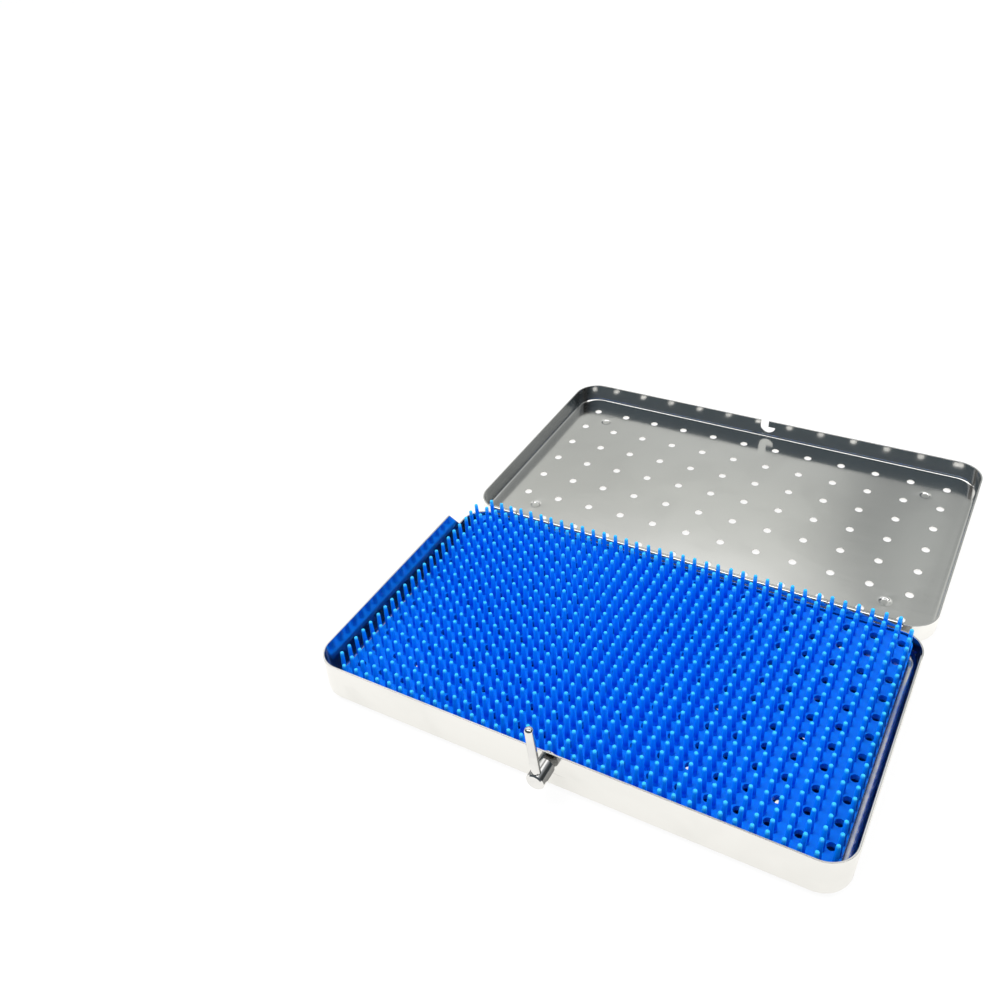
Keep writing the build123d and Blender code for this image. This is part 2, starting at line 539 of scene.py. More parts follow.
@dataclass(frozen=True)
class Silicone:
    """Blue silicone with its colour ramped up each finger: painted light makes the tips lighter, and painted
    shade makes the sheet and the roots of the fingers darker.
    """

    tip_z: float
    root_z: float
    name: str = "Blue_silicone"
    # Colours up a finger: the sheet and the root are painted shade, the body is the silicone's own blue, and
    # the tip is painted light.
    sheet: Colour = (0.0, 0.19, 0.80)
    root: Colour = (0.0, 0.10, 0.70)
    body: Colour = (0.0, 0.25, 0.94)
    tip: Colour = (0.04, 0.48, 1.0)
    mottle_scale: float = 60.0
    mottle: float = 0.10
    roughness: float = 0.42
    smudge_scale: float = 50.0
    smudge_roughness: float = 0.12
    ior: float = 1.41
    gloss: float = 0.22
    scatter: float = 0.25
    scatter_radius: Triple = (0.1, 0.35, 1.0)
    scatter_reach: float = 0.0015
    skin_scale: float = 2500.0
    skin_depth: float = 0.00003
    skin_strength: float = 0.4

    def material(self, effects: Effects) -> Material:
        """Builds the finish.

        Args:
            effects: the shared shader groups.

        Returns:
            The material.
        """
        material, graph, shader, place = new_material(self.name)
        # Painted light and shade by height: darker on the sheet and at the roots, lighter at the tips. The
        # mottle is the silicone's own uneven tone.
        height = graph.span(graph.split(place)["Z"], self.root_z, self.tip_z)
        mottle = graph.math("SUBTRACT", graph.noise(place, self.mottle_scale), 0.5)
        shade = graph.math("MULTIPLY_ADD", mottle, self.mottle, height)
        painted_light_up_a_finger = (
            (0.10, self.sheet), (0.20, self.root), (0.50, self.body), (0.90, self.body), (0.97, self.tip),
        )
        smudges = effects.marks(graph, place, self.smudge_scale)["Smudges"]
        skin = graph.noise(place, self.skin_scale, detail=1.0)
        looks = {
            "Base Color": graph.ramp(shade, painted_light_up_a_finger),
            "Roughness": graph.math("MULTIPLY_ADD", smudges, self.smudge_roughness, self.roughness),
            "IOR": self.ior,
            "Specular IOR Level": self.gloss,
            "Subsurface Weight": self.scatter,
            "Subsurface Radius": self.scatter_radius,
            "Subsurface Scale": self.scatter_reach,
            "Normal": graph.bump(skin, self.skin_depth, self.skin_strength),
        }
        graph.feed(shader, looks)
        return material


# ---------------------------------------------------------------------------------------------
# Geometry Nodes trees


def cell_grid(graph: Graph, entry: NodeOutputs) -> NodeSocket:
    """Adds a grid with one vertex for each column and row.

    Args:
        graph: the tree's graph.
        entry: the tree's inputs, with Pitch X, Pitch Y, Columns and Rows.

    Returns:
        The grid's mesh socket.
    """
    feeds = {}
    for axis, count in (("X", "Columns"), ("Y", "Rows")):
        spaces = graph.math("SUBTRACT", entry[count], 1.0)
        feeds[f"Size {axis}"] = graph.math("MULTIPLY", spaces, entry[f"Pitch {axis}"])
        feeds[f"Vertices {axis}"] = entry[count]
    return graph.node("GeometryNodeMeshGrid", feeds).outputs["Mesh"]


def end_tree(graph: Graph, instances: NodeSocket, finish: NodeSocket) -> None:
    """Ends a tree with real geometry and its material.

    Args:
        graph: the tree's graph.
        instances: what the tree has made.
        finish: the material socket.
    """
    real = graph.node("GeometryNodeRealizeInstances", {"Geometry": instances}).outputs["Geometry"]
    dressed = graph.node("GeometryNodeSetMaterial", {"Geometry": real, "Material": finish})
    graph.node("NodeGroupOutput", {"Geometry": dressed.outputs["Geometry"]})


def punched_sheet_tree() -> NodeTree:
    """Tree for a flat sheet of cells, each with a round hole in its middle.

    Returns:
        The Geometry Nodes tree.
    """
    graph = new_group(
        "Punched_sheet",
        "GeometryNodeTree",
        {
            "Pitch X": 0.02,
            "Pitch Y": 0.02,
            "Hole Diameter": 0.004,
            "Collar Diameter": 0.012,
            "Hole Sides": 32,
            "Columns": 3,
            "Rows": 3,
            "Finish": "NodeSocketMaterial",
        },
        {"Geometry": "NodeSocketGeometry"},
    )
    entry = graph.node("NodeGroupInput").outputs
    place = graph.node("GeometryNodeInputPosition").outputs[0]
    apart = graph.split(place)
    hole_radius = graph.math("MULTIPLY", entry["Hole Diameter"], 0.5)
    hole = {"Vertices": entry["Hole Sides"], "Radius": hole_radius}
    ring = graph.node("GeometryNodeMeshCircle", hole, fill_type="NONE").outputs["Mesh"]

    collar = graph.node("GeometryNodeExtrudeMesh", {"Mesh": ring, "Offset Scale": 0.0}, mode="EDGES").outputs
    collar_radius = graph.math("MULTIPLY", entry["Collar Diameter"], 0.5)
    outward = {0: graph.vector_math("NORMALIZE", place), "Scale": collar_radius}
    on_circle = graph.node("ShaderNodeVectorMath", outward, operation="SCALE").outputs[0]
    widened = graph.move(collar["Mesh"], on_circle, collar["Top"])

    edges = {"Mesh": widened, "Selection": collar["Top"], "Offset Scale": 0.0}
    border = graph.node("GeometryNodeExtrudeMesh", edges, mode="EDGES").outputs
    reach = graph.math("MAXIMUM", *(graph.math("ABSOLUTE", apart[axis]) for axis in "XY"))
    share = graph.math("DIVIDE", 0.5, reach)
    on_square = graph.node("ShaderNodeCombineXYZ")
    for axis in "XY":
        along = graph.math("MULTIPLY", apart[axis], entry[f"Pitch {axis}"])
        graph.feed(on_square, {axis: graph.math("MULTIPLY", along, share)})
    cell = graph.move(border["Mesh"], on_square.outputs[0], border["Top"])

    cells = {"Points": cell_grid(graph, entry), "Instance": cell}
    end_tree(graph, graph.node("GeometryNodeInstanceOnPoints", cells).outputs["Instances"], entry["Finish"])
    return graph.tree


def run_curve(graph: Graph, factor: NodeSocket, heights: list[float]) -> NodeSocket:
    """Adds a Float Curve of straight runs.

    Args:
        graph: the tree's graph.
        factor: what the curve reads, from 0 to 1.
        heights: the curve's value at even steps.

    Returns:
        The curve's value socket.
    """
    made = graph.node("ShaderNodeFloatCurve", {"Value": factor})
    curve = made.mapping.curves[0]
    while len(curve.points) < len(heights):
        curve.points.new(0.5, 0.5)
    for step, (point, height) in enumerate(zip(curve.points, heights)):
        point.location = (step / (len(heights) - 1), height)
        point.handle_type = "VECTOR"
    made.mapping.update()
    return made.outputs["Value"]


def shaped_finger(graph: Graph, entry: NodeOutputs, profile: Profile) -> NodeSocket:
    """Adds one finger, standing on the origin.

    Args:
        graph: the tree's graph.
        entry: the tree's inputs, with Sides, Width and Height.
        profile: share of the height and share of the root's width, at even steps up the finger.

    Returns:
        The finger's mesh socket.
    """
    steps = {"Vertices": entry["Sides"], "Side Segments": len(profile) - 1, "Radius": 0.5, "Depth": 1.0}
    column = graph.node("GeometryNodeMeshCylinder", steps, fill_type="TRIANGLE_FAN").outputs["Mesh"]
    apart = graph.split(graph.node("GeometryNodeInputPosition").outputs[0])
    share = graph.math("ADD", apart["Z"], 0.5)
    height, width = (run_curve(graph, share, list(values)) for values in zip(*profile))
    across = graph.math("MULTIPLY", width, entry["Width"])
    place = graph.node("ShaderNodeCombineXYZ", {"Z": graph.math("MULTIPLY", height, entry["Height"])})
    for axis in "XY":
        graph.feed(place, {axis: graph.math("MULTIPLY", apart[axis], across)})
    return graph.move(column, place.outputs[0])


def finger_tree(name: str, profile: Profile) -> NodeTree:
    """Tree for a field of moulded fingers, without one at each corner.

    Args:
        name: the tree's name.
        profile: share of the height and share of the root's width, at even steps up a finger.

    Returns:
        The Geometry Nodes tree.
    """
    graph = new_group(
        name,
        "GeometryNodeTree",
        {
            "Pitch X": 0.006,
            "Pitch Y": 0.006,
            "Columns": 3,
            "Rows": 3,
            "Height": 0.01,
            "Width": 0.003,
            "Sides": 8,
            "Lean": 0.0,
            "Seed": 1,
            "Finish": "NodeSocketMaterial",
        },
        {"Geometry": "NodeSocketGeometry"},
    )
    entry = graph.node("NodeGroupInput").outputs
    most = graph.node("ShaderNodeCombineXYZ", {"Z": math.tau})
    least = graph.node("ShaderNodeCombineXYZ")
    at_ends = []
    apart = graph.split(graph.node("GeometryNodeInputPosition").outputs[0])
    for axis, count in (("X", "Columns"), ("Y", "Rows")):
        graph.feed(most, {axis: entry["Lean"]})
        graph.feed(least, {axis: graph.math("MULTIPLY", entry["Lean"], -1.0)})
        before_last = graph.math("SUBTRACT", entry[count], 1.5)
        reach = graph.math("MULTIPLY", graph.math("MULTIPLY", before_last, entry[f"Pitch {axis}"]), 0.5)
        at_ends.append(graph.math("GREATER_THAN", graph.math("ABSOLUTE", apart[axis]), reach))
    limits = {"Min": least.outputs[0], "Max": most.outputs[0], "Seed": entry["Seed"]}
    lean = graph.node("FunctionNodeRandomValue", limits, data_type="FLOAT_VECTOR")
    fingers = {
        "Points": cell_grid(graph, entry),
        "Selection": graph.math("SUBTRACT", 1.0, graph.math("MULTIPLY", *at_ends)),
        "Instance": shaped_finger(graph, entry, profile),
        "Rotation": lean.outputs["Value"],
    }
    end_tree(graph, graph.node("GeometryNodeInstanceOnPoints", fingers).outputs["Instances"], entry["Finish"])
    return graph.tree


# ---------------------------------------------------------------------------------------------
# Mesh work


class Place(NamedTuple):
    """A place along a wall, on the middle of the sheet, and the direction that faces out."""

    x: float
    y: float
    out_x: float
    out_y: float

    def point(self, out: float, z: float) -> Vector:
        """The point this far outside the place, at this height."""
        return Vector((self.x + self.out_x * out, self.y + self.out_y * out, z))


@dataclass(frozen=True)
class Outline:
    """Rounded rectangle."""

    half_x: float
    half_y: float
    corner: float
    centre_x: float = 0.0
    centre_y: float = 0.0
    corner_steps: int = 14

    def places(self, breaks_x: set[float], breaks_y: set[float]) -> list[Place]:
        """Places all round, anticlockwise from the front of the right-hand side.

        Args:
            breaks_x: where the long sides have a place, from the middle.
            breaks_y: where the short sides have a place, from the middle.

        Returns:
            The places.
        """
        straight_x = self.half_x - self.corner
        straight_y = self.half_y - self.corner
        along_x = sorted({v for v in breaks_x if abs(v) < straight_x - TINY} | {straight_x, -straight_x})
        along_y = sorted({v for v in breaks_y if abs(v) < straight_y - TINY} | {straight_y, -straight_y})
        found = [Place(self.half_x, y, 1.0, 0.0) for y in along_y]
        found += self.arc(straight_x, straight_y, 0)
        found += [Place(x, self.half_y, 0.0, 1.0) for x in reversed(along_x)]
        found += self.arc(-straight_x, straight_y, 1)
        found += [Place(-self.half_x, y, -1.0, 0.0) for y in reversed(along_y)]
        found += self.arc(-straight_x, -straight_y, 2)
        found += [Place(x, -self.half_y, 0.0, -1.0) for x in along_x]
        found += self.arc(straight_x, -straight_y, 3)
        return [Place(p.x + self.centre_x, p.y + self.centre_y, p.out_x, p.out_y) for p in found]

    def arc(self, x: float, y: float, quarter: int) -> list[Place]:
        """Places inside one corner's arc.

        Args:
            x: the arc's centre.
            y: the arc's centre.
            quarter: 0 to 3, anticlockwise from +X.

        Returns:
            The places between the arc's two ends.
        """
        found = []
        for step in range(1, self.corner_steps):
            angle = math.pi / 2 * (quarter + step / self.corner_steps)
            out_x, out_y = math.cos(angle), math.sin(angle)
            found.append(Place(x + self.corner * out_x, y + self.corner * out_y, out_x, out_y))
        return found


def steps_between(low: float, high: float, longest: float) -> set[float]:
    """Evenly spaced values from low to high.

    Args:
        low: the first value.
        high: the last value.
        longest: the most that neighbours may differ.

    Returns:
        The values.
    """
    count = max(1, math.ceil((high - low) / longest))
    return {low + (high - low) * i / count for i in range(count + 1)}


def smooth_share(value: float) -> float:
    """A share that rises smoothly from 0 to 1 as the value does."""
    share = min(1.0, max(0.0, value))
    return share * share * (3 - 2 * share)


def turn_round(x: float, y: float, stretch: float = 1.0) -> Turn:
    """Angle of a point round a middle, in plan.

    Args:
        x: the middle.
        y: the middle.
        stretch: how much longer the ring is along X than along Y.

    Returns:
        The function that measures the angle.
    """
    return lambda point: math.atan2((point.y - y) * stretch, point.x - x)


def ring_faces(work: BMesh, inner: list[BMVert], outer: list[BMVert], turn: Turn) -> None:
    """Triangles between two rings round the same middle, whatever their counts.

    Args:
        work: the mesh.
        inner: the vertices of one ring.
        outer: the vertices of the other ring.
        turn: the angle of a point round the middle.
    """
    rings = [sorted(ring, key=lambda v: turn(v.co)) for ring in (inner, outer)]
    angles = [[turn(v.co) for v in ring] for ring in rings]
    rings = [ring + ring[:1] for ring in rings]
    angles = [row + [row[0] + math.tau] for row in angles]
    at = [0, 0]
    while at[0] < len(inner) or at[1] < len(outer):
        ahead = [angles[k][at[k] + 1] if at[k] + 1 < len(angles[k]) else math.inf for k in (0, 1)]
        side = 0 if ahead[0] <= ahead[1] else 1
        work.faces.new([rings[0][at[0]], rings[1][at[1]], rings[side][at[side] + 1]])
        at[side] += 1


def join_mesh(work: BMesh, mesh: Mesh, shift: Vector) -> list[BMVert]:
    """Adds a mesh to the work, with its doubles merged.

    Args:
        work: the mesh that grows.
        mesh: what is added.
        shift: how far it is moved.

    Returns:
        The vertices that were added.
    """
    before = set(work.verts)
    work.from_mesh(mesh)
    added = [v for v in work.verts if v not in before]
    for vertex in added:
        vertex.co += shift
    bmesh.ops.remove_doubles(work, verts=added, dist=MERGED)
    bpy.data.meshes.remove(mesh)
    return [v for v in work.verts if v not in before]


def drawn_in(value: float, limit: float) -> float:
    """The value, no further from nothing than the limit."""
    return max(-limit, min(limit, value))


def finished_object(name: str, work: BMesh, finish: Material) -> Object:
    """Turns the work into a smooth-shaded object at the origin.

    Args:
        name: the piece's name.
        work: its mesh.
        finish: its material.

    Returns:
        The object.
    """
    mesh = bpy.data.meshes.new(name)
    for face in work.faces:
        face.smooth = True
        face.material_index = 0
    work.to_mesh(mesh)
    work.free()
    mesh.materials.clear()
    mesh.materials.append(finish)
    piece = bpy.data.objects.new(name, mesh)
    bpy.context.scene.collection.objects.link(piece)
    return piece


def thicken(piece: Object, thickness: float, side: float, edge_width: float) -> None:
    """Gives a sheet its thickness and breaks its sharp edges.

    Args:
        piece: the sheet.
        thickness: its thickness.
        side: 0 with the mesh in the middle of the thickness, -1 with all of it below.
        edge_width: how far the edges are broken.
    """
    depth = piece.modifiers.new("Thickness", "SOLIDIFY")
    depth.thickness = thickness
    depth.offset = side
    edges = piece.modifiers.new("Edges", "BEVEL")
    edges.width = edge_width
    edges.segments = 2
    edges.limit_method = "ANGLE"
    edges.angle_limit = SHARP_EDGE
    edges.harden_normals = True


@dataclass(frozen=True)
class Perforation:
    """Rows and columns of round holes."""

    pitch_x: float = 0.020
    pitch_y: float = 0.020
    diameter: float = 0.0042
    collar: float = 0.0120
    columns: int = 12
    rows: int = 7

    @property
    def half_x(self) -> float:
        """Half of the length that the cells cover."""
        return self.columns * self.pitch_x / 2

    @property
    def half_y(self) -> float:
        """Half of the width that the cells cover."""
        return self.rows * self.pitch_y / 2

    @property
    def stretch(self) -> float:
        """How much longer the cells' area is than it is wide."""
        return self.half_x / self.half_y

    def add_cells(self, work: BMesh, middle: Vector, tree: NodeTree, finish: Material) -> list[BMVert]:
        """Adds the punched sheet to a mesh.

        Args:
            work: the mesh.
            middle: the middle of the sheet.
            tree: the punched sheet's tree.
            finish: its material.

        Returns:
            The vertices that were added.
        """
        values = {
            "Pitch X": self.pitch_x,
            "Pitch Y": self.pitch_y,
            "Hole Diameter": self.diameter,
            "Collar Diameter": self.collar,
            "Columns": self.columns,
            "Rows": self.rows,
            "Finish": finish,
        }
        return join_mesh(work, grown_mesh("cells", tree, values), middle)

    def border(self, cells: list[BMVert], middle: Vector, limit_x: float, limit_y: float) -> list[BMVert]:
        """Draws the border of the cells in, to leave a margin.

        Args:
            cells: the vertices of the punched sheet.
            middle: its middle.
            limit_x: how far the border may be from the middle along X.
            limit_y: how far it may be along Y.

        Returns:
            The vertices of the border.
        """
        found = []
        for vertex in cells:
            off = vertex.co - middle
            if abs(off.x) > self.half_x - TINY or abs(off.y) > self.half_y - TINY:
                vertex.co.x = middle.x + drawn_in(off.x, limit_x)
                vertex.co.y = middle.y + drawn_in(off.y, limit_y)
                found.append(vertex)
        return found


# ---------------------------------------------------------------------------------------------
# The pressed pans


@dataclass(frozen=True)
class Stretch:
    """A stretch of the hinge side."""

    start: float
    end: float

    def holds(self, x: float) -> bool:
        """Whether the stretch holds this place along the hinge."""
        return self.start - TINY < x < self.end + TINY

    def both_sides(self) -> tuple[Stretch, Stretch]:
        """The stretch and its mirror image on the left."""
        return Stretch(-self.end, -self.start), self


@dataclass(frozen=True)
class Hinge:
    """The hinge's axis, and how the two pans share its length."""

    y: float
    z: float
    low_rim_z: float = 0.010975
    base_start: float = 0.077
    base_end: float = 0.097
    gap: float = 0.0004
    lid_end: float = 0.112
    turn: float = 292.0
    steps: int = 16

    def base_knuckles(self) -> tuple[Stretch, ...]:
        """Where the base's sheet rolls round the pin."""
        return Stretch(self.base_start, self.base_end).both_sides()

    def lid_notches(self) -> tuple[Stretch, ...]:
        """Where the lid leaves room for the base's knuckles."""
        return Stretch(self.base_start - self.gap, self.base_end + self.gap).both_sides()

    def lid_knuckles(self) -> tuple[Stretch, ...]:
        """Where the lid's sheet rolls round the pin."""
        middle = self.base_start - self.gap
        return (*Stretch(self.base_end + self.gap, self.lid_end).both_sides(), Stretch(-middle, middle))

    def roll(self, place: Place) -> list[Vector]:
        """Points round the roll at one place.

        Args:
            place: where the sheet leaves the wall.

        Returns:
            The points, from the wall to the end of the roll.
        """
        radius = abs(self.y - place.y)
        points = []
        for step in range(self.steps + 1):
            angle = math.radians(self.turn) * step / self.steps
            points.append(place.point(radius * (1 - math.cos(angle)), self.z + radius * math.sin(angle)))
        return points


@dataclass
class PressedPan(ABC):
    """A pan of pressed sheet with a punched floor, rounded walls and rolled hinge knuckles."""

    name: str
    node: str
    body: Body
    outer_length: float
    outer_width: float
    outer_corner: float
    centre_y: float
    rim_z: float
    hinge_side: float
    hinge: Hinge
    knuckles: tuple[Stretch, ...]
    perforation: Perforation = Perforation()
    sheet: float = 0.0008
    bend: float = 0.0018
    bend_steps: int = 6
    floor_z: float = 0.0011
    patch: float = 0.010
    wall_step: float = 0.020
    floor_trim: float = 0.002
    floor_margin: float = 0.0006
    lift_reach: float = 0.008
    crown: float = 0.0
    sag: float = 0.0
    foot_x: float = 0.100
    foot_y: float = 0.050
    foot_clearing: float = 0.0040
    foot_steps: int = 24
    foot_profile: Profile = (
        (0.0045, 0.0), (0.0034, 0.0), (0.0031, 0.06), (0.0028, 0.30),
        (0.0025, 0.70), (0.0022, 0.94), (0.0019, 1.0), (0.0010, 1.0),
    )
    edge_width: float = 0.00015

    @abstractmethod
    def rim_at(self, place: Place, between: Vector) -> float:
        """Height of the rim.

        Args:
            place: a place along the wall.
            between: the middle of the stretch that is being made.

        Returns:
            The height.
        """

    @abstractmethod
    def levels_below_opening(self) -> int:
        """How many levels of the wall are whole below the latch's opening."""

    @abstractmethod
    def add_opening(self, work: BMesh) -> None:
        """Adds the wall round the latch's opening."""

    @property
    def hinge_wall_y(self) -> float:
        """The middle of the sheet in the wall that carries the knuckles."""
        return self.centre_y + self.hinge_side * (self.outer_width - self.sheet) / 2

    @property
    def latch_wall_y(self) -> float:
        """The middle of the sheet in the wall that has the latch's opening."""
        return self.centre_y - self.hinge_side * (self.outer_width - self.sheet) / 2

    def breaks_x(self) -> set[float]:
        """Where the long sides need a place.

        Returns:
            Places along the hinge.
        """
        reach = self.outer_length / 2
        found = steps_between(-reach, reach, self.wall_step) | {-self.patch, 0.0, self.patch}
        for knuckle in self.knuckles:
            found |= {knuckle.start, knuckle.end}
        return found

    def breaks_y(self) -> set[float]:
        """Where the short sides need a place."""
        reach = self.outer_width / 2
        return steps_between(-reach, reach, self.wall_step)

    def rolls(self, between: Vector) -> bool:
        """Whether the sheet rolls round the pin in the middle of this stretch."""
        return abs(between.y - self.hinge_wall_y) < TINY and any(k.holds(between.x) for k in self.knuckles)

    def in_patch(self, between: Vector) -> bool:
        """Whether this stretch belongs to the latch's opening."""
        return abs(between.y - self.latch_wall_y) < TINY and abs(between.x) < self.patch

    def column(self, place: Place, between: Vector) -> list[Vector]:
        """Points up the wall at one place.

        Args:
            place: where along the wall.
            between: the middle of the stretch that is being made.

        Returns:
            The points, from the edge of the floor to the rim or the end of the roll.
        """
        points = []
        for step in range(self.bend_steps + 1):
            angle = math.pi / 2 * step / self.bend_steps
            inset = self.bend * (1 - math.sin(angle))
            points.append(place.point(-inset, self.floor_z + self.bend * (1 - math.cos(angle))))
        points.append(place.point(0.0, self.hinge.low_rim_z))
        if self.rolls(between):
            return points + self.hinge.roll(place)
        return points + [place.point(0.0, self.rim_at(place, between))]

    def add_walls(self, work: BMesh) -> list[Place]:
        """Adds the bends, the walls and the knuckles.

        Args:
            work: the mesh.

        Returns:
            The places round the wall.
        """
        inset = self.sheet / 2
        half_x, half_y = self.outer_length / 2 - inset, self.outer_width / 2 - inset
        outline = Outline(half_x, half_y, self.outer_corner - inset, centre_y=self.centre_y)
        places = outline.places(self.breaks_x(), self.breaks_y())
        for here, there in zip(places, places[1:] + places[:1]):
            between = Vector(((here.x + there.x) / 2, (here.y + there.y) / 2, 0.0))
            first, second = self.column(here, between), self.column(there, between)
            levels = self.levels_below_opening() if self.in_patch(between) else len(first) - 1
            for level in range(levels):
                corners = (first[level], second[level], second[level + 1], first[level + 1])
                work.faces.new([work.verts.new(c) for c in corners])
        self.add_opening(work)
        return places

    def floor_lift(self, point: Vector) -> float:
        """How far the pressed floor is above a flat one.

        Args:
            point: a point of the floor.

        Returns:
            The height, below nothing where the floor sinks.
        """
        off_y = point.y - self.centre_y
        edge = min(self.outer_length / 2 - abs(point.x), self.outer_width / 2 - abs(off_y))
        share = smooth_share((edge - self.bend - self.sheet / 2) / self.lift_reach)
        dome = math.cos(math.pi * point.x / self.outer_length) * math.cos(math.pi * off_y / self.outer_width)
        return self.crown * dome * share - self.sag * share

    def add_floor(self, work: BMesh, places: list[Place], tree: NodeTree, finish: Material) -> None:
        """Adds the punched floor, its margin and its four pressed feet.

        Args:
            work: the mesh.
            places: the places round the wall.
            tree: the punched sheet's tree.
            finish: the sheet's finish.
        """
        holes = self.perforation
        middle = Vector((0.0, self.centre_y, self.floor_z))
        sheet = holes.add_cells(work, middle, tree, finish)
        border = holes.border(sheet, middle, holes.half_x - self.floor_trim, holes.half_y - self.floor_trim)
        outer, inner = (
            [work.verts.new(place.point(-self.bend - inset, self.floor_z)) for place in places]
            for inset in (0.0, self.floor_margin)
        )
        for step, start in enumerate(outer):
            work.faces.new([start, outer[step - 1], inner[step - 1], inner[step]])
        ring_faces(work, border, inner, turn_round(0.0, self.centre_y, holes.stretch))
        for vertex in sheet + inner:
            vertex.co.z += self.floor_lift(vertex.co)
        for side_x in (-1, 1):
            for side_y in (-1, 1):
                self.press_foot(work, side_x * self.foot_x, self.centre_y + side_y * self.foot_y)

    def press_foot(self, work: BMesh, x: float, y: float) -> None:
        """Presses one foot into the floor.

        Args:
            work: the mesh.
            x: the foot's middle.
            y: the foot's middle.
        """
        cleared = [v for v in work.verts if math.hypot(v.co.x - x, v.co.y - y) < self.foot_clearing]
        level = min(cleared, key=lambda v: math.hypot(v.co.x - x, v.co.y - y)).co.z
        around = {v for vertex in cleared for face in vertex.link_faces for v in face.verts}
        ring = list(around - set(cleared))
        bmesh.ops.delete(work, geom=cleared, context="VERTS")
        turn = turn_round(x, y)
        depth = level - self.sheet / 2
        for radius, share in self.foot_profile:
            inner = []
            for step in range(self.foot_steps):
                angle = math.tau * step / self.foot_steps
                spot = (x + radius * math.cos(angle), y + radius * math.sin(angle), level - depth * share)
                inner.append(work.verts.new(spot))
            ring_faces(work, inner, ring, turn)
            ring = inner
        work.faces.new(sorted(ring, key=lambda v: turn(v.co)))

    def build(self, tree: NodeTree, finish: Material) -> Object:
        """Makes the pan.

        Args:
            tree: the punched sheet's tree.
            finish: the sheet's finish.

        Returns:
            The finished piece, riding on its body.
        """
        work = bmesh.new()
        places = self.add_walls(work)
        self.add_floor(work, places, tree, finish)
        bmesh.ops.remove_doubles(work, verts=work.verts, dist=MERGED)
        bmesh.ops.recalc_face_normals(work, faces=work.faces)
        pan = finished_object(self.name, work, finish)
        thicken(pan, self.sheet, 0.0, self.edge_width)
        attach(pan, self.body.value)
        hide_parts(self.node)
        return pan


@dataclass
class BaseTray(PressedPan):
    """The lower pan: its hinge wall is cut low, and the latch's bush sits in its front wall."""

    ramp_top_y: float = 0.0485
    ramp_foot_y: float = 0.0575
    bush_radius: float = 0.00355
    bush_z: float = 0.0169
    bush_steps: int = 32

    @classmethod
    def from_frame(cls, hinge: Hinge) -> BaseTray:
        """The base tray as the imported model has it.

        Args:
            hinge: the hinge.

        Returns:
            The sub-assembly.
        """
        low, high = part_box("base_tray")
        return cls(
            name="base_tray_sheet",
            node="base_tray",
            body=Body.BASE,
            outer_length=high.x - low.x,
            outer_width=0.150,
            outer_corner=0.013,
            centre_y=0.0,
            rim_z=high.z,
            hinge_side=1.0,
            hinge=hinge,
            knuckles=hinge.base_knuckles(),
            bend=0.0034,
            sag=0.0004,
        )

    def breaks_y(self) -> set[float]:
        """Where the short sides need a place."""
        return super().breaks_y() | {self.ramp_top_y, self.ramp_foot_y}

    def rim_at(self, place: Place, between: Vector) -> float:
        """Height of the rim, which falls along a ramp at each side.

        Args:
            place: a place along the wall.
            between: not used.

        Returns:
            The height.
        """
        share = (place.y - self.ramp_top_y) / (self.ramp_foot_y - self.ramp_top_y)
        return self.rim_z + (self.hinge.low_rim_z - self.rim_z) * min(1.0, max(0.0, share))

    def levels_below_opening(self) -> int:
        """How many levels of the wall are whole below the bush."""
        return self.bend_steps + 1

    def add_opening(self, work: BMesh) -> None:
        """Adds the wall round the bush.

        Args:
            work: the mesh.
        """
        low, high, reach = self.hinge.low_rim_z, self.rim_z, self.patch
        corners = [(-reach, low), (0.0, low), (reach, low), (reach, high), (0.0, high), (-reach, high)]
        border = [work.verts.new((x, self.latch_wall_y, z)) for x, z in corners]
        hole = []
        for step in range(self.bush_steps):
            angle = math.tau * step / self.bush_steps
            x, z = self.bush_radius * math.cos(angle), self.bush_z + self.bush_radius * math.sin(angle)
            hole.append(work.verts.new((x, self.latch_wall_y, z)))
        ring_faces(work, hole, border, lambda p: math.atan2(p.z - self.bush_z, p.x))


